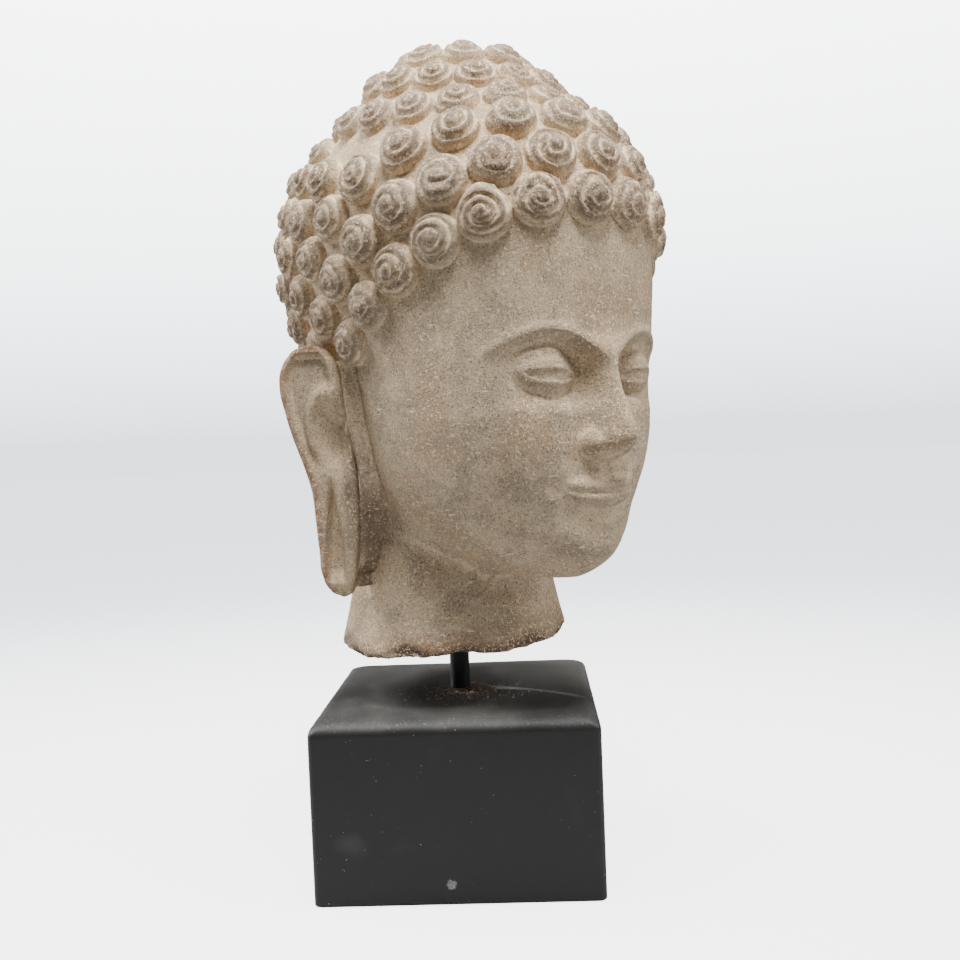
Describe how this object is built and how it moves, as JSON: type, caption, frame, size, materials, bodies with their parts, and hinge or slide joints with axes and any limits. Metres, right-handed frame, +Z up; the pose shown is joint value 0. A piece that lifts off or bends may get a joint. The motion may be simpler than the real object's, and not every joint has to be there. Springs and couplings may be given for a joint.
{
  "type": "stone head on a rod and block stand",
  "caption": "Carved stone head with rows of snail-shell curls, a rounded topknot and long ears, on a short rod above a square black block.",
  "frame": {"origin": "middle of the block's underside", "axes": "+Z up through the rod; the block's front faces -Y, and the head looks 40 degrees from -Y towards +X"},
  "size_m": [0.235, 0.2456, 0.4868],
  "materials": {
    "stone": "worn grey-brown sandstone with pale dust in the hollows",
    "rod": "matt black",
    "block": "satin black paint"
  },
  "bodies": {
    "root": {"head": "stone", "rod": "rod", "block": "block"}
  },
  "joints": []
}
